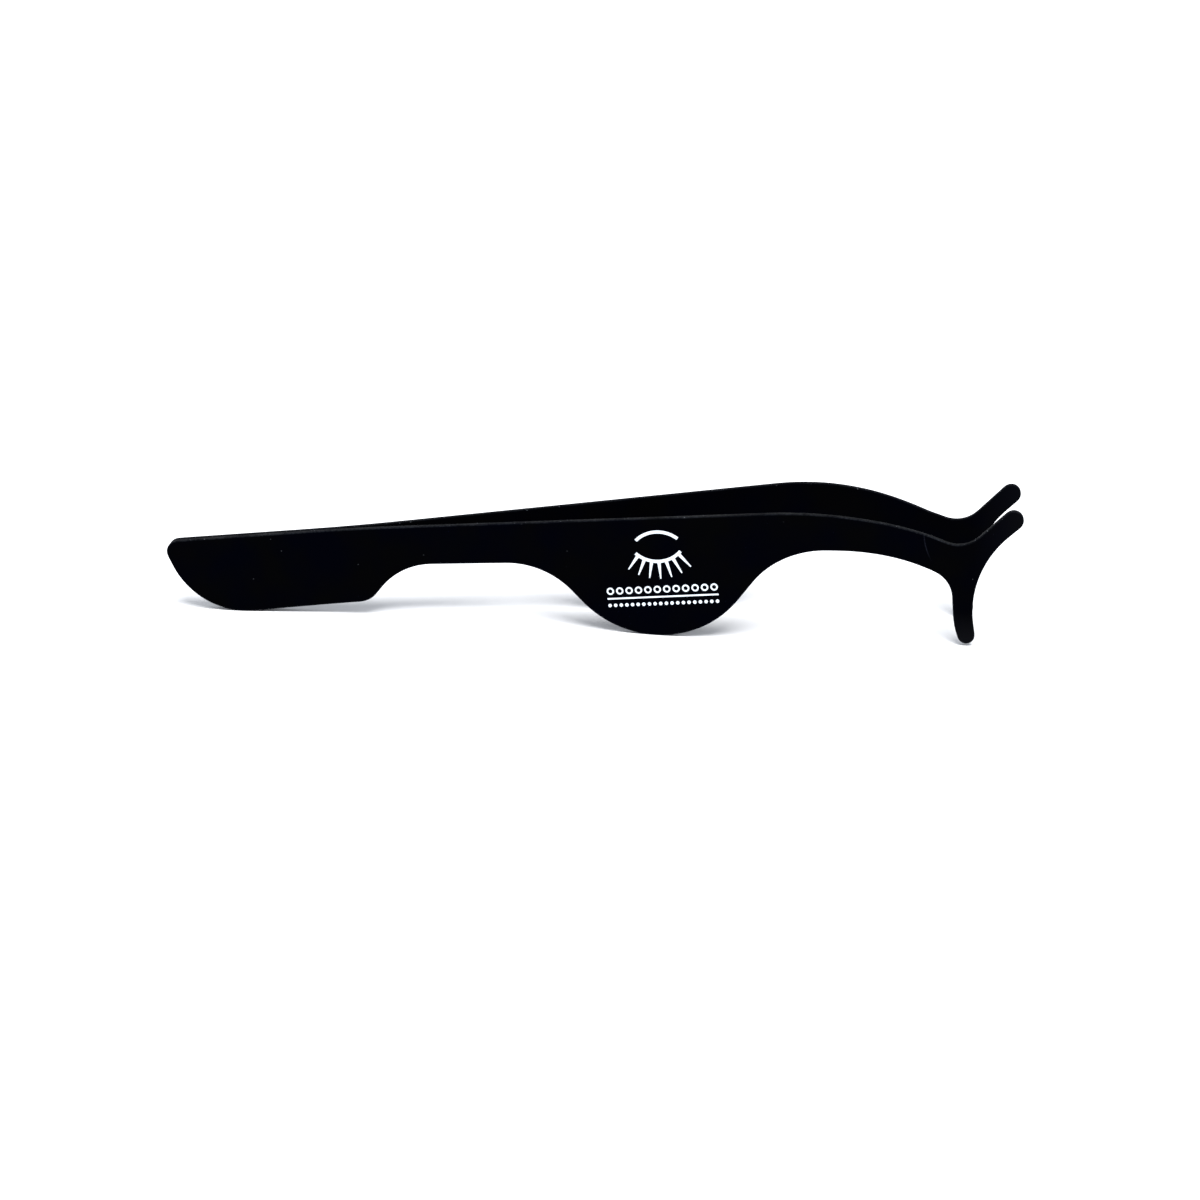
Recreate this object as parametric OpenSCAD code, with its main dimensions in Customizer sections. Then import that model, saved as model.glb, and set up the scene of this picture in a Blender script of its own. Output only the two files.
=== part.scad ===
// False-lash tweezer: two mirror-image sprung blades welded together at the tail,
// with forked jaws that hold a strip of lashes while it is pressed into place.
// X runs from the tail to the jaws, Z is up, and the blades lie either side of Y = 0.
// The origin is below the middle of the tweezer, on the plane that its lower edges rest on.

/* [Overall] */
// Length from the tail end to the upper prong tips
length = 110; // [105:0.5:115]
// Height from the resting plane to the top of the upper prongs
height = 18.05; // [17.95:0.05:18.5]
// Thickness of one blade with its coat
blade_t = 0.8; // [0.6:0.05:1]

/* [Tail and finger lobes] */
// Height of the upper corner of the tail end
tail_h = 9.35; // [8.8:0.05:9.6]
// Corner radius at the top of the tail end
tail_corner_r = 1.5; // [1.3:0.1:2.5]
// Distance from the tail end to the lowest point of the tail lobe
tail_lobe_x = 10; // [10:0.1:11]
// Radius of the tail lobe's lower edge
tail_lobe_r = 10.2; // [9.8:0.1:10.2]
// Distance from the lowest point of the belly, the main finger lobe, to the upper prong tips
belly_to_tip = 46; // [46:0.5:48]
// Radius of the belly's lower edge
belly_r = 13.15; // [12.5:0.05:13.2]

/* [Back, waist and neck] */
// Height of the highest point of the curved back
back_h = 17.25; // [17:0.05:17.3]
// Radius of the curved back
back_r = 43; // [40:0.5:44]
// Height of the underside of the waist at its tail end
waist_h = 7.6; // [7:0.1:7.7]
// Rise of the underside along the waist
waist_rise = 0.8; // [0.4:0.1:0.9]
// Height of the underside of the neck
neck_h = 12.6; // [12.2:0.1:12.6]

/* [Forked head] */
// Distance from the deepest point of the lid-shaped front edge to the upper prong tips
mouth_depth = 5.9; // [5.7:0.05:6]
// Radius of the lid-shaped front edge
mouth_r = 13.25; // [12.5:0.05:13.3]
// Width of the lower prong
prong_w = 2.45; // [2.4:0.05:2.6]
// Radius of the upper prong's round tip
upper_tip_r = 1.25; // [1:0.05:1.3]
// Radius of the lower prong's round tip
lower_tip_r = 1.1; // [1:0.05:1.1]
// Height of the lower prong tip above the resting plane
prong_lift = 0.3; // [0.2:0.05:0.5]
// Height of the notch between the upper prong and the back
notch_h = 13.3; // [13.2:0.1:13.9]

/* [Blade spring, seen from above] */
// Length over which the two blades lie flat against each other
tail_flat_l = 18; // [16:0.5:20]
// Radius of the spring bend that opens the blades
spring_r = 115; // [90:5:140]
// Width across both blades where they stand widest apart
shoulder_w = 14.4; // [12:0.2:14.8]
// Distance from that widest place to the upper prong tips
shoulder_to_tip = 25; // [24.5:0.5:27]
// Radius of the shoulder bend that turns the blades inward again
shoulder_r = 45; // [40:1:50]
// Width across both blades at the crease behind the head
crease_w = 10.9; // [10.5:0.1:11.2]
// Distance from the crease to the upper prong tips
crease_to_tip = 11.4; // [10.8:0.1:12]
// Radius of the crease
crease_r = 3; // [2:0.25:4]
// Width across both blades at the tips of the jaws
tip_w = 12.3; // [11.6:0.1:13]

/* [Flexing line] */
// Distance from the tail end to the line that each arm bends about
flex_x = 26; // [24:0.5:28]
// Gap left between the fixed tail and the bending arm of one blade
flex_gap = 0.06; // [0.04:0.01:0.1]

/* [Spot welds] */
// Diameter of a weld nugget
nugget_d = 3; // [2:0.25:3.5]
// Depth that a nugget reaches into each blade
nugget_depth = 0.2; // [0.15:0.05:0.25]
// Distance from one nugget to the next
nugget_pitch = 4.5; // [4:0.25:5]
// Number of nuggets
nugget_count = 3; // [1:1:3]

/* [Printed mark] */
// Thickness of the ink
ink_t = 0.04; // [0.02:0.01:0.06]
// Width of the ruled line and of the rows above and below it
mark_w = 14.4; // [12:0.2:15]
// Thickness of the ruled line and of the rings
rule_t = 0.2; // [0.1:0.05:0.25]
// Number of rings in the upper row
ring_count = 12; // [7:1:12]
// Outer diameter of the rings
ring_d = 0.95; // [0.6:0.05:0.95]
// Number of dots in the lower row
dot_count = 20; // [9:1:21]
// Diameter of the dots
dot_d = 0.45; // [0.3:0.05:0.55]
// Number of lashes on the closed eye
lash_count = 7; // [5:2:9]

/* [Hidden] */
$fn = 96;

coat_colour = [0.03, 0.03, 0.035];
weld_colour = [0.6, 0.6, 0.62];
ink_colour = [0.95, 0.95, 0.95];
margin = 1;
chord_gap = 0.005;

// An outline is a ring of circles joined by tangents, like a belt run counter-clockwise.
// Each entry is [x, y, r]: r > 0 rounds an outward corner, r < 0 an inward one, 0 is sharp.
// The direction of the tangent that leaves circle a and meets circle b
function heading(a, b) =
    let (apart = norm([b.x - a.x, b.y - a.y]))
    assert(apart > abs(a[2] - b[2]), str("no tangent joins ", a, " and ", b))
    atan2(b.y - a.y, b.x - a.x) + asin((a[2] - b[2]) / apart);

// The point of circle c that a tangent in the given direction touches
function beside(c, angle) = [c.x + c[2] * sin(angle), c.y - c[2] * cos(angle)];

// How far the belt turns round circle c
function turn(c, arrive, leave) =
    c[2] > 0 ? (leave - arrive + 720) % 360 : -((arrive - leave + 720) % 360);

// The points of the belt round circle c, close enough that no chord strays more than chord_gap
function arc(c, arrive, leave) =
    let (sweep = turn(c, arrive, leave))
    let (steps = ceil(abs(sweep) / (2 * acos(1 - chord_gap / abs(c[2])))))
    [for (i = [0:steps]) beside(c, arrive + sweep * i / steps)];

function belt(ring) =
    let (n = len(ring))
    let (leave = [for (i = [0:n - 1]) heading(ring[i], ring[(i + 1) % n])])
    [
        for (i = [0:n - 1])
            each ring[i][2] == 0 ? [[ring[i].x, ring[i].y]] : arc(ring[i], leave[(i + n - 1) % n], leave[i])
    ];

belly_x = length - belly_to_tip;
mouth_x = length - mouth_depth;
shoulder_x = length - shoulder_to_tip;
crease_x = length - crease_to_tip;

// Side view of a blade, from the tail end at x = 0, with z as the second value
lobe_front_r = 3.2;
waist_tail_r = 9.4;
waist_belly_r = 11;
neck_belly_r = 11.6;
neck_r = 25.6;
throat_r = 3.8;
heel_r = 10;
heel_z = 4.8;
notch_r = 3.8;
// The lower tip lies just inside the heel's circle, which then runs smoothly into it
heel_x = mouth_x - prong_w + heel_r;
lower_tip_z = prong_lift + lower_tip_r;
lower_tip_x = heel_x - sqrt(pow(heel_r - lower_tip_r + 0.02, 2) - pow(heel_z - lower_tip_z, 2));
side_ring = [
    [tail_corner_r, tail_h - tail_corner_r, tail_corner_r],
    [tail_lobe_x, tail_lobe_r, tail_lobe_r],
    [belly_x - 39, 5, lobe_front_r],
    [belly_x - 28.3, waist_h - waist_tail_r, -waist_tail_r],
    [belly_x - 18.4, waist_h + waist_rise - waist_belly_r, -waist_belly_r],
    [belly_x, belly_r, belly_r],
    [belly_x + 21.8, neck_h - neck_belly_r, -neck_belly_r],
    [belly_x + 23.1, neck_h - neck_r, -neck_r],
    [mouth_x - prong_w - throat_r - 0.15, 6.15, -throat_r],
    [heel_x, heel_z, heel_r],
    [lower_tip_x, lower_tip_z, lower_tip_r],
    [mouth_x + mouth_r, 5, -mouth_r],
    [length - upper_tip_r, height - upper_tip_r, upper_tip_r],
    [mouth_x - 2.2, notch_h + notch_r, -notch_r],
    [belly_x + 18.8, back_h - back_r, back_r]
];

// The bends of a blade's middle surface seen from above: [x, y, r], r > 0 turns away from the other blade
bends = [
    [tail_flat_l, blade_t / 2 + spring_r, spring_r],
    [shoulder_x, (shoulder_w - blade_t) / 2 - shoulder_r, -shoulder_r],
    [crease_x, (crease_w - blade_t) / 2 + crease_r, crease_r]
];
tip_middle = [length + margin, (tip_w - blade_t) / 2, 0];
jaw_heading = heading(bends[2], tip_middle);
tip_offset = blade_t / 2 * [-sin(jaw_heading), cos(jaw_heading)];

// Plan view of a blade: the inner face towards the jaws, then the outer face back to the tail
function face_ring(distance) = [for (b = bends) [b.x, b.y, b[2] + distance]];
plan_ring = [
    [-margin, 0, 0],
    each face_ring(blade_t / 2),
    [tip_middle.x - tip_offset.x, tip_middle.y - tip_offset.y, 0],
    [tip_middle.x + tip_offset.x, tip_middle.y + tip_offset.y, 0],
    each [for (i = [2:-1:0]) [bends[i].x, bends[i].y, blade_t / 2 - bends[i][2]]],
    [-margin, blade_t, 0]
];

// One whole blade on the far side of Y = 0, cut from sheet in side view and bent in plan
module blade() {
    intersection() {
        translate([0, shoulder_w, 0])
            rotate([90, 0, 0])
                linear_extrude(height = shoulder_w + margin)
                    polygon(belt(side_ring));
        translate([0, 0, -margin])
            linear_extrude(height = height + 2 * margin)
                polygon(belt(plan_ring));
    }
}

// The space from x = from to x = to, higher and wider than a blade
module slice(from, to) {
    translate([from, -margin, -margin])
        cube([to - from, shoulder_w + 2 * margin, height + 2 * margin]);
}

nugget_first_x = tail_lobe_x - nugget_pitch;
nugget_z = 5.2;
module nuggets(depth) {
    for (i = [0:nugget_count - 1])
        translate([nugget_first_x + i * nugget_pitch, depth, nugget_z])
            rotate([90, 0, 0])
                cylinder(d = nugget_d, h = 2 * depth);
}

module blade_tail() {
    difference() {
        intersection() {
            blade();
            slice(-margin, flex_x - flex_gap / 2);
        }
        nuggets(nugget_depth);
    }
}

module blade_arm() {
    intersection() {
        blade();
        slice(flex_x + flex_gap / 2, length + margin);
    }
}

// Carries a piece from tail-end coordinates to the tweezer's own frame
module centred() {
    translate([-length / 2, 0, 0]) children();
}

module front() {
    mirror([0, 1, 0]) children();
}

module front_blade_tail() {
    color(coat_colour) centred() front() blade_tail();
}

module front_blade_arm() {
    color(coat_colour) centred() front() blade_arm();
}

module rear_blade_tail() {
    color(coat_colour) centred() blade_tail();
}

module rear_blade_arm() {
    color(coat_colour) centred() blade_arm();
}

module spot_welds() {
    color(weld_colour) centred() nuggets(nugget_depth);
}

// A curved stroke, centred on the upward direction from its own centre
module curved_stroke(r, half_angle) {
    intersection() {
        difference() {
            circle(r = r);
            circle(r = r - stroke_w);
        }
        polygon([
            [0, 0],
            2 * r * [-sin(half_angle), cos(half_angle)],
            2 * r * [0, 1],
            2 * r * [sin(half_angle), cos(half_angle)]
        ]);
    }
}

// A closed eye below its brow: a lid line that bows downward, with tapering lashes fanned out from it
stroke_w = 0.4;
brow_r = 4.3;
lid_r = 4.3;
lid_half_angle = 45;
lash_l = 2.1;
lash_root_w = 0.45;
lash_tip_w = 0.14;
module closed_eye() {
    translate([0, -lid_r]) curved_stroke(brow_r, lid_half_angle - 4);
    rotate(180) curved_stroke(lid_r, lid_half_angle);
    fan = lid_half_angle - 6;
    for (i = [0:lash_count - 1])
        rotate(-fan + 2 * fan * i / (lash_count - 1))
            polygon([
                [-lash_root_w / 2, -lid_r + stroke_w / 2],
                [-lash_tip_w / 2, -lid_r - lash_l],
                [lash_tip_w / 2, -lid_r - lash_l],
                [lash_root_w / 2, -lid_r + stroke_w / 2]
            ]);
}

// Copies of a shape of the given width, spread evenly over the width of the mark
module row(count, width) {
    for (i = [0:count - 1])
        translate([(i / (count - 1) - 0.5) * (mark_w - width), 0])
            children();
}

module ring(diameter) {
    difference() {
        circle(d = diameter);
        circle(d = diameter - 2 * rule_t);
    }
}

module mark_artwork() {
    translate([0, 5.3]) closed_eye();
    translate([0, -2.5]) row(ring_count, ring_d) ring(ring_d);
    translate([0, -3.5]) square([mark_w, rule_t], center = true);
    translate([0, -4.4]) row(dot_count, dot_d) circle(d = dot_d);
}

// The ink lies on the flat part of the front blade's outer face, square to the arm's back
outer_face = [for (b = bends) [b.x, b.y, b[2] - blade_t / 2]];
belly_heading = heading(outer_face[0], outer_face[1]);
belly_start = beside(outer_face[0], belly_heading);
mark_x = belly_x + 0.7;
mark_z = 8.75;
mark_tilt = 6.4;
module printed_mark() {
    along = (mark_x - belly_start.x) / cos(belly_heading);
    color(ink_colour)
        centred()
            translate([belly_start.x, -belly_start.y, mark_z])
                rotate([0, 0, -belly_heading])
                    translate([along, 0, 0])
                        rotate([90, 0, 0])
                            linear_extrude(height = ink_t)
                                rotate(mark_tilt)
                                    mark_artwork();
}

front_blade_tail();
front_blade_arm();
rear_blade_tail();
rear_blade_arm();
spot_welds();
printed_mark();
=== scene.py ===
"""Looks for the false-lash tweezer: coated, bent blades, white ink, studio light and camera."""

import math

import bmesh
import bpy
import numpy as np
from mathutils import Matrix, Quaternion, Vector, noise
from mathutils.geometry import delaunay_2d_cdt


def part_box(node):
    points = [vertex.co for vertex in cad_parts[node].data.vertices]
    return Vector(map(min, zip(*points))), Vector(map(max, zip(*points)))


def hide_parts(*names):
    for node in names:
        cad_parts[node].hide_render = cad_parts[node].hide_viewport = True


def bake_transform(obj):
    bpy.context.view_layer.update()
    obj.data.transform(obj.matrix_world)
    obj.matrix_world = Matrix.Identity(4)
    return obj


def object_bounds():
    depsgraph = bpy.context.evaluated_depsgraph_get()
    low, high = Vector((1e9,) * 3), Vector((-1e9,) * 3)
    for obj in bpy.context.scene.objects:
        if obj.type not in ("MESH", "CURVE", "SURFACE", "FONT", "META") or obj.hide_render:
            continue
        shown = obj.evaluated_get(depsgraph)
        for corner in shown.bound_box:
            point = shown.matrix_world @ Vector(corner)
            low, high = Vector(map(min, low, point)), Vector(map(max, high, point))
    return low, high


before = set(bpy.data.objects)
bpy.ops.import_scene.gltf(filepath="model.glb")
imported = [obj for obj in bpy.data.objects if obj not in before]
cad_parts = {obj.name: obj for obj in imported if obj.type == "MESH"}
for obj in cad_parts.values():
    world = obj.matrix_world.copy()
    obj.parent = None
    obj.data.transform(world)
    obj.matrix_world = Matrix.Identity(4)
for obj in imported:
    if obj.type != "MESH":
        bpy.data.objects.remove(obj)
cad_low, cad_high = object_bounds()

MM = 0.001

# Blades: each is one piece, made from the CAD's tail and arm nodes
BLADES = {
    "front_blade": ("front_blade_tail", "front_blade_arm", "front_arm", -1),
    "rear_blade": ("rear_blade_tail", "rear_blade_arm", "rear_arm", 1),
}

# Blade mesh
FACING = 0.7               # a face whose normal has this much Y belongs to a blade's flat side
CORNER_DIGITS = 7          # decimals of a metre that tell one corner of the outline from another
COLUMN_DIGITS = 6          # decimals of a metre that tell one place along X from another
ON_CUT = 0.001 * MM        # corners this close to the cut between tail and arm lie on it
OUTLINE_STEP = 0.22 * MM   # spacing of points along a blade's outline
SMOOTHING_PASSES = 2
EDGE_RADIUS = 0.11 * MM    # rounding of the coated edges
EDGE_STEPS = 4             # steps in each rounded edge
EDGE_HOLD = 0.3            # flat border beside each rounded edge, as a share of its radius
INNER_POLISH = 0.25        # how polished the inner edges are beside the handled outer ones
EDGE_RIPPLE = 0.010 * MM   # how uneven the coat is where it wraps the edges
RIPPLE_LENGTH = 0.7 * MM
FACE_STEP = 0.9 * MM       # spacing of points across a blade's flat sides
CREASE_STEP = 0.12 * MM    # spacing along X beside the crease behind the head
CREASE_ZONE = 0.8 * MM     # how far that close spacing reaches
CLOSEST_COLUMNS = 0.9      # columns of points are never closer than this share of CREASE_STEP
MERGE_MM = 1e-5            # points closer than this are one point when a flat side is filled

# Painted highlight: a thin lighter line in the coat, outside the crease behind the head, where the bend
# catches the light
CREASE_OFFSET = -0.6 * MM     # from the crease to the line
CREASE_LEAN = 0.24            # how far the line moves towards the tail for each millimetre up
CREASE_MIDDLE_Z = 13.2 * MM
CREASE_BOW_R = 7 * MM         # the line bows away from the tail
CREASE_LINE_W = 0.10 * MM
CREASE_LINE_REACH = 2.2 * MM  # half the line's height

# Painted light on the prongs: lighter low on the lower prong, where light bounces up from the floor, and
# towards their ends
FOOT_REACH = 4.5 * MM  # how far up the lower prong the painted floor light reaches
TIP_REACH = 6 * MM     # how far back from the upper prong's end
TIP_SHARE = 0.5        # how much of that painted light the upper prong's end gets beside the lower one

# Stage
FLOOR_HALF = 4.0        # half the floor's side, in metres
SENSOR_W = 36           # camera sensor, in millimetres, as Blender counts it
AIM_RIGHT = 1.54 * MM   # what the camera looks at, from the middle of the object's box
AIM_UP = 2.71 * MM      # and from the floor


def side_polygons(node, direction):
    """The CAD node's polygons that look along Y in the given direction, as lists of corner points."""
    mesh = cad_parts[node].data
    return [
        [mesh.vertices[index].co for index in polygon.vertices]
        for polygon in mesh.polygons
        if polygon.normal.y * direction > FACING
    ]


def side_curve(nodes, direction):
    """How y runs with x over one flat side of a blade, as two arrays."""
    y_at = {}
    for node in nodes:
        for corners in side_polygons(node, direction):
            for corner in corners:
                key = round(corner.x, COLUMN_DIGITS)
                y_at[key] = min(y_at.get(key, corner.y), corner.y, key=abs)
    xs = np.array(sorted(y_at))
    return xs, np.array([y_at[x] for x in xs])


def crease_position():
    """Where along X a blade's outer side is nearest the middle, between its shoulder and its tip."""
    xs, widths = side_curve(("rear_blade_arm",), 1)
    shoulder = int(np.argmax(widths))
    return xs[shoulder + int(np.argmin(widths[shoulder:]))]


def open_chain(node, direction, cut_x):
    """The (x, z) points along a node's outline, from one end of its straight cut at cut_x to the other."""
    follows = {}
    for corners in side_polygons(node, direction):
        keys = [(round(c.x, CORNER_DIGITS), round(c.z, CORNER_DIGITS)) for c in corners]
        for a, b in zip(keys, keys[1:] + keys[:1]):
            if follows.get(b) and a in follows[b]:
                follows[b].remove(a)
            else:
                follows.setdefault(a, set()).add(b)
    steps = {a: next(iter(ends)) for a, ends in follows.items() if ends}
    on_cut = {a for a in steps if abs(a[0] - cut_x) < ON_CUT}
    steps = {a: b for a, b in steps.items() if not (a in on_cut and b in on_cut)}
    point = next(a for a in steps if a not in steps.values())
    chain = [point]
    while point in steps:
        point = steps[point]
        chain.append(point)
    return chain


def blade_outline(tail, arm, direction):
    """A blade's closed side outline, evenly spaced, and its outward normals."""
    corners = open_chain(tail, direction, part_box(tail)[1].x)
    corners += open_chain(arm, direction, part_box(arm)[0].x)
    loop = np.array(corners + corners[:1])
    travelled = np.concatenate([[0], np.cumsum(np.hypot(*np.diff(loop, axis=0).T))])
    stops = np.linspace(0, travelled[-1], round(travelled[-1] / OUTLINE_STEP), endpoint=False)
    points = np.stack([np.interp(stops, travelled, loop[:, axis]) for axis in (0, 1)], axis=1)
    for _ in range(SMOOTHING_PASSES):
        points = (np.roll(points, 1, 0) + 2 * points + np.roll(points, -1, 0)) / 4
    along = np.roll(points, -1, 0) - np.roll(points, 1, 0)
    area = np.sum(points[:, 0] * np.roll(points[:, 1], -1) - np.roll(points[:, 0], -1) * points[:, 1])
    outward = np.stack([along[:, 1], -along[:, 0]], axis=1) * np.sign(area)
    return points, outward / np.linalg.norm(outward, axis=1)[:, None]


def inside(points, loop):
    """Which points lie inside a closed loop."""
    a, b = loop, np.roll(loop, -1, 0)
    px, pz = points[:, 0, None], points[:, 1, None]
    crosses = (a[:, 1] > pz) != (b[:, 1] > pz)
    rise = np.where(b[:, 1] == a[:, 1], 1, b[:, 1] - a[:, 1])
    hit_x = a[:, 0] + (pz - a[:, 1]) * (b[:, 0] - a[:, 0]) / rise
    return (crosses & (px < hit_x)).sum(1) % 2 == 1


def fill(loop, columns):
    """Points inside the loop and the triangles that fill it, which number the loop's points first."""
    rows = np.arange(loop[:, 1].min(), loop[:, 1].max(), FACE_STEP)
    grid = np.array([(x, z) for x in columns for z in rows])
    grid = grid[inside(grid, loop)]
    clear = np.array([np.hypot(*(loop - p).T).min() for p in grid]) > FACE_STEP / 2
    grid = grid[clear]
    points = [Vector(p / MM) for p in loop] + [Vector(p / MM) for p in grid]
    edges = [(i, (i + 1) % len(loop)) for i in range(len(loop))]
    inner_triangles = 1
    result = delaunay_2d_cdt(points, edges, [], inner_triangles, MERGE_MM)
    source = [min(ids) for ids in result[3]]
    return grid, [[source[i] for i in triangle] for triangle in result[2]]


def face_columns(xs, crease_x, low, high):
    """Places along X for a flat side's points: the CAD's bend lines and even steps, closer at the crease."""
    even = np.arange(low, high, FACE_STEP)
    close = np.arange(crease_x - CREASE_ZONE, crease_x + CREASE_ZONE, CREASE_STEP)
    columns = []
    for x in sorted([*even, *close, *xs]):
        if low < x < high and (not columns or x - columns[-1] > CREASE_STEP * CLOSEST_COLUMNS):
            columns.append(x)
    return columns


def edge_rings(thickness):
    """(inset from the outline, depth from the outer side) of each ring, from the outer side to the inner."""
    hold = EDGE_HOLD * EDGE_RADIUS
    outer_half = [(EDGE_RADIUS + hold, 0)]
    for step in range(EDGE_STEPS + 1):
        angle = math.pi / 2 * step / EDGE_STEPS
        outer_half.append((EDGE_RADIUS * (1 - math.sin(angle)), EDGE_RADIUS * (1 - math.cos(angle))))
    return outer_half + [(inset, thickness - depth) for inset, depth in reversed(outer_half)]


def ripple(x, z, lane):
    """Unevenness of the coat at one place on an edge, the same on every run."""
    return abs(EDGE_RIPPLE * noise.noise(Vector((x, z, lane * RIPPLE_LENGTH / 2)) / RIPPLE_LENGTH))


class BladeShape:
    """A blade's vertices and faces, with the values per vertex that its coat reads."""

    def __init__(self, tail, arm, direction):
        self.outer = side_curve((tail, arm), direction)
        self.inner = side_curve((tail, arm), -direction)
        self.thickness = abs(self.outer[1][0] - self.inner[1][0])
        self.vertices = []
        self.faces = []
        self.edge_share = []
        self.outer_share = []

    def place(self, x, z, depth, polish):
        """Adds the vertex at this depth from the blade's outer side."""
        y_out = np.interp(x, *self.outer)
        y_in = np.interp(x, *self.inner)
        self.vertices.append((x, y_out + (y_in - y_out) * depth / self.thickness, z))
        self.edge_share.append(polish)
        self.outer_share.append(float(depth < self.thickness / 2))

    def add_rings(self, outline, outward, rings):
        """Wraps the blade's edge in rings of points, joined by quads."""
        count = len(outline)
        for lane, (inset, depth) in enumerate(rings):
            rounded = 0 < lane < len(rings) - 1
            polish = float(rounded) * (1 - (1 - INNER_POLISH) * depth / self.thickness)
            for point, normal in zip(outline, outward):
                x, z = point - normal * inset
                if rounded:
                    x, z = (x, z) - normal * ripple(x, z, lane)
                self.place(x, z, depth, polish)
        for lane in range(len(rings) - 1):
            a = lane * count
            b = a + count
            for i in range(count):
                j = (i + 1) % count
                self.faces.append((a + i, a + j, b + j, b + i))

    def add_side(self, ring, count, depth, xs, crease_x):
        """Fills the flat side inside one ring of count points, in columns that follow its bends."""
        border = ring * count
        loop = np.array([(x, z) for x, _, z in self.vertices[border:border + count]])
        columns = face_columns(xs, crease_x, loop[:, 0].min(), loop[:, 0].max())
        grid, triangles = fill(loop, columns)
        first = len(self.vertices)
        for x, z in grid:
            self.place(x, z, depth, 0.0)
        for triangle in triangles:
            self.faces.append([border + i if i < count else first + i - count for i in triangle])

    def to_mesh(self, name):
        mesh = bpy.data.meshes.new(name)
        mesh.from_pydata(self.vertices, [], self.faces)
        store(mesh, "edge_share", "FLOAT", "value", self.edge_share)
        store(mesh, "outer_share", "FLOAT", "value", self.outer_share)
        store(mesh, "rest_mm", "FLOAT_VECTOR", "vector", np.array(self.vertices) / MM)
        face_outwards(mesh)
        mesh.shade_smooth()
        return mesh


def store(mesh, name, kind, field, values):
    """Keeps one value per vertex on the mesh for its material to read."""
    attribute = mesh.attributes.new(name, kind, "POINT")
    attribute.data.foreach_set(field, np.array(values, np.float32).ravel())


def face_outwards(mesh):
    """Turns every face of a closed mesh so that its normal points out."""
    bm = bmesh.new()
    bm.from_mesh(mesh)
    bmesh.ops.recalc_face_normals(bm, faces=bm.faces)
    bm.to_mesh(mesh)
    bm.free()


def make_blade(name, tail, arm, direction, crease_x, material):
    """One continuous blade in place of its two CAD nodes, following their shape from the tail into the arm.
    """
    shape = BladeShape(tail, arm, direction)
    outline, outward = blade_outline(tail, arm, direction)
    rings = edge_rings(shape.thickness)
    shape.add_rings(outline, outward, rings)
    shape.add_side(0, len(outline), 0, shape.outer[0], crease_x)
    shape.add_side(len(rings) - 1, len(outline), shape.thickness, shape.inner[0], crease_x)
    mesh = shape.to_mesh(name)
    mesh.materials.append(material)
    blade = bpy.data.objects.new(name, mesh)
    bpy.context.scene.collection.objects.link(blade)
    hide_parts(tail, arm)
    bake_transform(blade)


class Finish:
    """A node-based material, built one node at a time."""

    MIX_A, MIX_B, MIX_RESULT = 6, 7, 2  # a Mix node's colour sockets, by number

    def __init__(self, name, rest=None):
        """rest names the mesh's record of its resting place, which keeps a texture still as it bends."""
        self.material = bpy.data.materials.new(name)
        self.material.use_nodes = True
        self.tree = self.material.node_tree
        self.shader = self.tree.nodes["Principled BSDF"]
        if rest:
            self.millimetres = self.attribute(rest, "Vector")
        else:
            place = self.add("ShaderNodeTexCoord").outputs["Object"]
            scale = {0: place, "Scale": 1 / MM}
            self.millimetres = self.add("ShaderNodeVectorMath", {"operation": "SCALE"}, scale).outputs[0]

    def add(self, kind, settings=None, inputs=None):
        node = self.tree.nodes.new(kind)
        for name, value in (settings or {}).items():
            setattr(node, name, value)
        self.feed(node, inputs or {})
        return node

    def feed(self, node, inputs):
        for name, value in inputs.items():
            if isinstance(value, bpy.types.NodeSocket):
                self.tree.links.new(value, node.inputs[name])
            else:
                node.inputs[name].default_value = value

    def attribute(self, name, output="Fac"):
        """A value kept on the mesh."""
        return self.add("ShaderNodeAttribute", {"attribute_name": name}).outputs[output]

    def noise(self, per_mm, detail=2.0):
        """Cloudy variation from 0 to 1 with the given number of features per millimetre."""
        inputs = {"Vector": self.millimetres, "Scale": per_mm, "Detail": detail}
        return self.add("ShaderNodeTexNoise", {}, inputs).outputs["Fac"]

    def specks(self, per_mm, radius, kept):
        """1 on small round specks and 0 elsewhere. Only the kept share of the cells holds one."""
        inputs = {"Vector": self.millimetres, "Scale": per_mm}
        cells = self.add("ShaderNodeTexVoronoi", {"feature": "F1"}, inputs)
        close = self.math("LESS_THAN", cells.outputs["Distance"], radius * per_mm)
        chosen = self.add("ShaderNodeSeparateColor", {}, {0: cells.outputs["Color"]}).outputs[0]
        return self.math("MULTIPLY", close, self.math("LESS_THAN", chosen, kept))

    def math(self, operation, a, b=0.0, c=0.0):
        return self.add("ShaderNodeMath", {"operation": operation}, {0: a, 1: b, 2: c}).outputs[0]

    def ramp(self, value, low, high, out_low=0.0, out_high=1.0):
        """Runs from out_low to out_high as the value runs from low to high, and holds past them."""
        inputs = {"Value": value, "From Min": low, "From Max": high, "To Min": out_low, "To Max": out_high}
        return self.add("ShaderNodeMapRange", {}, inputs).outputs[0]

    def mix(self, share, a, b):
        """Colour a where the share is 0 and colour b where it is 1."""
        node = self.add("ShaderNodeMix", {"data_type": "RGBA"}, {0: share})
        for socket, colour in ((self.MIX_A, a), (self.MIX_B, b)):
            flat = not isinstance(colour, bpy.types.NodeSocket)
            self.feed(node, {socket: (*colour, 1.0) if flat else colour})
        return node.outputs[self.MIX_RESULT]

    def bump(self, height, strength, distance):
        inputs = {"Height": height, "Strength": strength, "Distance": distance}
        return self.add("ShaderNodeBump", {}, inputs).outputs[0]

    def set(self, **inputs):
        """Feeds the surface shader's inputs, named with _ for each space, and gives back the material."""
        self.feed(self.shader, {name.replace("_", " "): value for name, value in inputs.items()})
        return self.material


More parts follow.
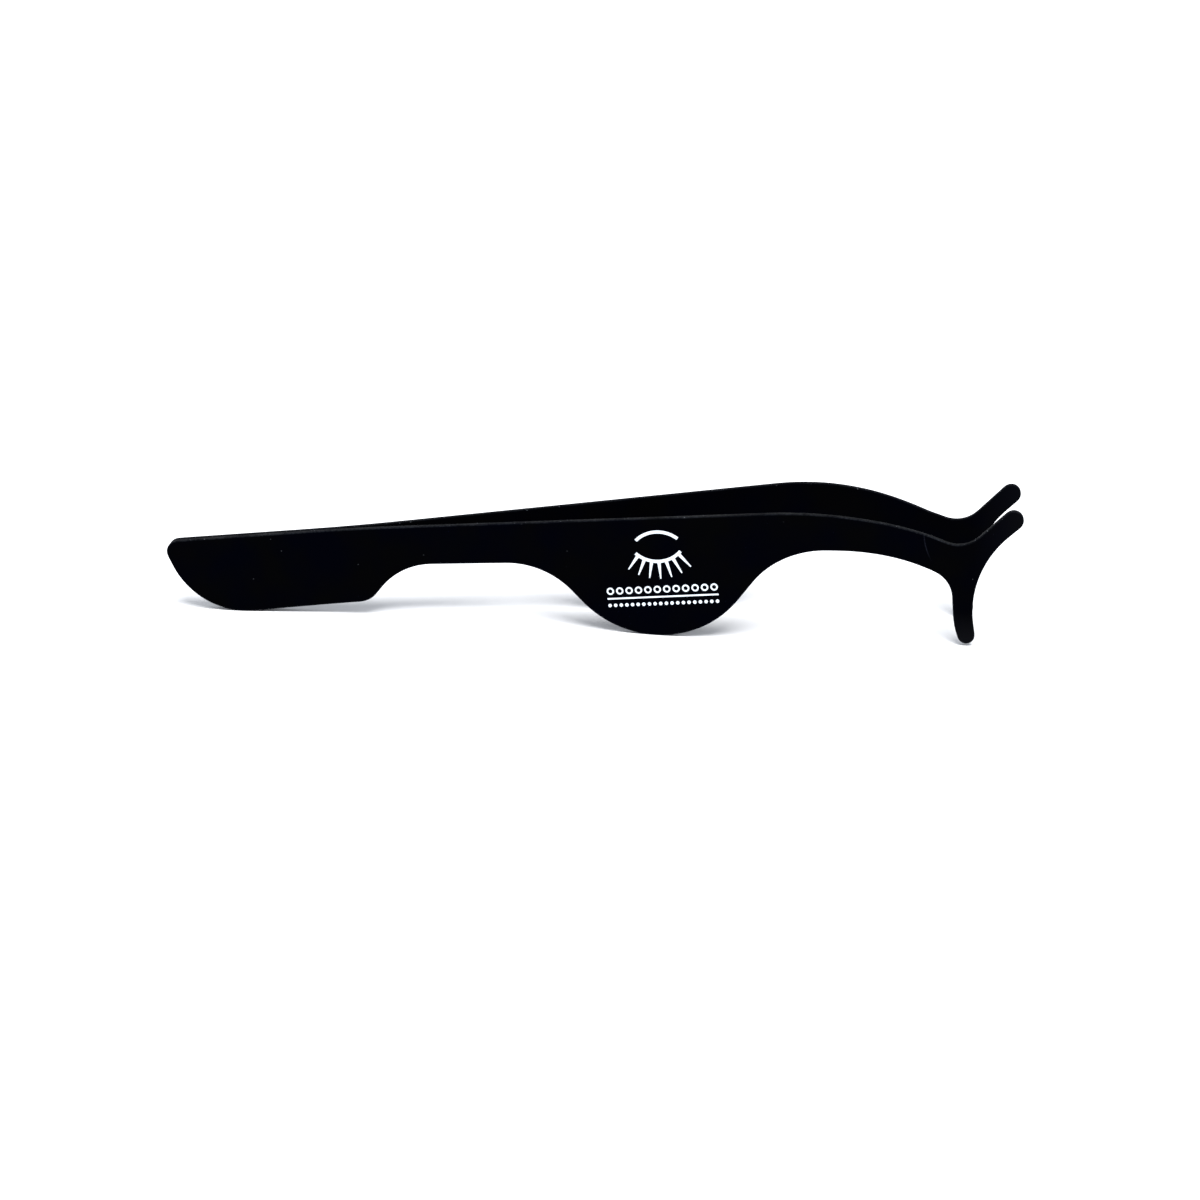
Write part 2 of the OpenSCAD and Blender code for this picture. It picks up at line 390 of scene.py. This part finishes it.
def crease_highlight_line(f, crease_x):
    """How much a place lies on the painted highlight, a bowed line in the coat outside the crease behind the
    head, where the bend catches the light.
    """
    x, _, z = f.add("ShaderNodeSeparateXYZ", {}, {0: f.millimetres}).outputs
    up = f.math("SUBTRACT", z, CREASE_MIDDLE_Z / MM)
    bow = f.math("MULTIPLY", f.math("MULTIPLY", up, up), -MM / (2 * CREASE_BOW_R))
    leaned = f.math("MULTIPLY_ADD", up, CREASE_LEAN, bow)
    away = f.math("SUBTRACT", f.math("ADD", x, leaned), (crease_x + CREASE_OFFSET) / MM)
    near = f.ramp(f.math("ABSOLUTE", away), CREASE_LINE_W / MM, 0.0)
    fade = f.ramp(f.math("ABSOLUTE", up), CREASE_LINE_REACH / MM, 0.0)
    return f.math("MULTIPLY", f.math("MULTIPLY", near, fade), f.attribute("outer_share"))


def prong_light_share(f, crease_x):
    """Painted light: how far a place lies towards the ends of the two prongs, and low on the lower one, where
    the coat is painted a little lighter for the light bounced up from the floor.
    """
    x, _, z = f.add("ShaderNodeSeparateXYZ", {}, {0: f.millimetres}).outputs
    foot = f.math("MULTIPLY", f.ramp(z, FOOT_REACH / MM, 0.0), f.math("GREATER_THAN", x, crease_x / MM))
    end = f.ramp(x, (cad_high.x - TIP_REACH) / MM, cad_high.x / MM, 0.0, TIP_SHARE)
    return f.math("MAXIMUM", foot, end)


def edge_nicks(f, edge):
    """1 on small nicks, which lie in patches along the blade's edges."""
    on_edge = f.math("GREATER_THAN", edge, 0.2)
    in_patch = f.math("GREATER_THAN", f.noise(per_mm=0.12), 0.47)
    specks = f.specks(per_mm=2.2, radius=0.07, kept=0.4)
    return f.math("MULTIPLY", specks, f.math("MULTIPLY", on_edge, in_patch))


def edge_shine(f, edge):
    """How shiny the coat is: hardly at all on the flat sides, more where edges are polished by handling."""
    glint = f.ramp(f.noise(per_mm=3.5), 0.35, 0.7, out_low=0.05, out_high=0.19)
    patches = f.ramp(f.noise(per_mm=0.3), 0.38, 0.62, out_low=0.35)
    on_flat_sides = 0.003
    return f.math("MULTIPLY_ADD", f.math("MULTIPLY", edge, patches), glint, on_flat_sides)


def black_coat(crease_x):
    """Matte soft-touch coat: near black, finely grained, with dust and nicks along the edges, painted light
    on the prong ends and a painted highlight line beside the crease.
    """
    neutral = (0.0006, 0.0006, 0.0008)
    bluish = (0.0002, 0.0003, 0.0014)
    # The next two tones are painted: light on the prong ends, then a highlight beside the crease
    prong_light_tone = (0.0035, 0.0036, 0.0046)
    crease_highlight_tone = (0.012, 0.013, 0.020)
    dusty = (0.035, 0.037, 0.04)
    nicked = (0.08, 0.085, 0.095)
    cool_shine = (0.72, 0.82, 1.0, 1.0)
    f = Finish("black_coat", rest="rest_mm")
    edge = f.attribute("edge_share")
    grain = f.noise(per_mm=9.0, detail=3.0)
    cloud = f.noise(per_mm=0.16)
    dust = f.specks(per_mm=0.8, radius=0.06, kept=0.22)
    # Painted highlight: a thin lighter line beside the crease, broken up by the grain
    crease = f.math("MULTIPLY", crease_highlight_line(f, crease_x), f.ramp(grain, 0.3, 0.6))
    colour = f.mix(f.ramp(cloud, 0.35, 0.65), neutral, bluish)
    # Painted light: the lower prong's foot is lighter for the floor's bounce, and the prongs' ends a little
    # lighter too
    colour = f.mix(prong_light_share(f, crease_x), colour, prong_light_tone)
    colour = f.mix(crease, colour, crease_highlight_tone)
    colour = f.mix(dust, colour, dusty)
    colour = f.mix(edge_nicks(f, edge), colour, nicked)
    roughness = f.ramp(cloud, 0.3, 0.7, out_low=0.50, out_high=0.60)
    normal = f.bump(grain, strength=0.35, distance=0.02 * MM)
    f.set(Specular_IOR_Level=edge_shine(f, edge), Specular_Tint=cool_shine)
    return f.set(Base_Color=colour, Roughness=roughness, Normal=normal)


def white_ink():
    """Pad-printed ink: matte, slightly cool white, thinner in fine pinholes."""
    thick = (0.80, 0.88, 0.94)
    thin = (0.62, 0.70, 0.76)
    pinhole = (0.30, 0.32, 0.35)
    f = Finish("white_ink")
    cover = f.noise(per_mm=5.0, detail=3.0)
    ink = f.mix(f.ramp(cover, 0.35, 0.75), thick, thin)
    colour = f.mix(f.specks(per_mm=3.0, radius=0.05, kept=0.25), ink, pinhole)
    return f.set(Base_Color=colour, Roughness=0.6, Normal=f.bump(cover, strength=0.3, distance=0.01 * MM))


def weld_steel():
    """Fused stainless steel with fine, slightly stained grain."""
    clean = (0.55, 0.54, 0.53)
    stained = (0.40, 0.37, 0.33)
    f = Finish("weld_steel")
    grain = f.noise(per_mm=12.0, detail=4.0)
    colour = f.mix(f.noise(per_mm=0.7), clean, stained)
    roughness = f.ramp(grain, 0.2, 0.8, out_low=0.25, out_high=0.5)
    normal = f.bump(grain, strength=0.4, distance=0.01 * MM)
    return f.set(Base_Color=colour, Metallic=1.0, Roughness=roughness, Normal=normal)


def studio_white():
    """The pale floor: smooth matte paper."""
    f = Finish("studio_white")
    tone = f.mix(f.noise(per_mm=0.02), (0.90, 0.90, 0.91), (0.92, 0.92, 0.93))
    return f.set(Base_Color=tone, Roughness=0.9, Specular_IOR_Level=0.0)


def paint_node(name, material):
    """Gives a CAD node its finished material."""
    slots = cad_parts[name].data.materials
    slots.clear()
    slots.append(material)


def make_floor():
    corner_signs = ((-1, -1), (1, -1), (1, 1), (-1, 1))
    corners = [(FLOOR_HALF * x, FLOOR_HALF * y, cad_low.z) for x, y in corner_signs]
    mesh = bpy.data.meshes.new("studio_floor")
    mesh.from_pydata(corners, [], [(0, 1, 2, 3)])
    mesh.materials.append(studio_white())
    floor = bpy.data.objects.new("studio_floor", mesh)
    bpy.context.scene.collection.objects.link(floor)


def direction_from(azimuth, elevation):
    """Unit vector from the object towards a place seen at these angles; azimuth 0 is the front, -Y."""
    a, e = math.radians(azimuth), math.radians(elevation)
    return Vector((math.sin(a) * math.cos(e), -math.cos(a) * math.cos(e), math.sin(e)))


def make_light(name, azimuth, elevation, strength, spread):
    """A large soft light far away. Its spread is the angle that it fills, in degrees."""
    light = bpy.data.lights.new(name, "SUN")
    light.energy = strength
    light.angle = math.radians(spread)
    lamp = bpy.data.objects.new(name, light)
    lamp.rotation_mode = "QUATERNION"
    lamp.rotation_quaternion = direction_from(azimuth, elevation).to_track_quat("Z", "Y")
    bpy.context.scene.collection.objects.link(lamp)


def make_world(strength):
    """Even, slightly cool light from all round. Past the floor's edge the camera sees plain white."""
    cool = (0.90, 0.94, 1.0, 1)
    white = (1, 1, 1, 1)
    world = bpy.data.worlds.new("studio")
    world.use_nodes = True
    tree = world.node_tree
    light = tree.nodes["Background"]
    light.inputs["Color"].default_value = cool
    light.inputs["Strength"].default_value = strength
    backdrop = tree.nodes.new("ShaderNodeBackground")
    backdrop.inputs["Color"].default_value = white
    ray = tree.nodes.new("ShaderNodeLightPath")
    mixed = tree.nodes.new("ShaderNodeMixShader")
    tree.links.new(ray.outputs["Is Camera Ray"], mixed.inputs[0])
    tree.links.new(light.outputs[0], mixed.inputs[1])
    tree.links.new(backdrop.outputs[0], mixed.inputs[2])
    tree.links.new(mixed.outputs[0], tree.nodes["World Output"].inputs["Surface"])
    bpy.context.scene.world = world


def make_camera(azimuth, elevation, roll, distance, lens, target):
    """A camera that looks at the target from these angles, in degrees. The lens is in millimetres."""
    data = bpy.data.cameras.new("camera")
    data.lens = lens
    data.sensor_width = SENSOR_W
    data.clip_start = distance / 20
    data.clip_end = FLOOR_HALF * 4
    camera = bpy.data.objects.new("camera", data)
    back = direction_from(azimuth, elevation)
    camera.location = target + back * distance
    camera.rotation_mode = "QUATERNION"
    camera.rotation_quaternion = Quaternion(back, math.radians(roll)) @ back.to_track_quat("Z", "Y")
    bpy.context.scene.collection.objects.link(camera)
    bpy.context.scene.camera = camera


crease = crease_position()
coat = black_coat(crease)
for blade_name, (tail, arm, body, direction) in BLADES.items():
    make_blade(blade_name, tail, arm, direction, crease, coat)
paint_node("printed_mark", white_ink())
paint_node("spot_welds", weld_steel())

make_floor()
make_world(strength=0.78)
make_light("key", azimuth=20, elevation=64, strength=4.2, spread=35)
centre = (cad_low + cad_high) / 2
target = Vector((centre.x + AIM_RIGHT, centre.y, cad_low.z + AIM_UP))
make_camera(azimuth=5.76, elevation=19.2, roll=-0.19, distance=387 * MM, lens=90, target=target)
bpy.context.scene.view_settings.view_transform = "Standard"
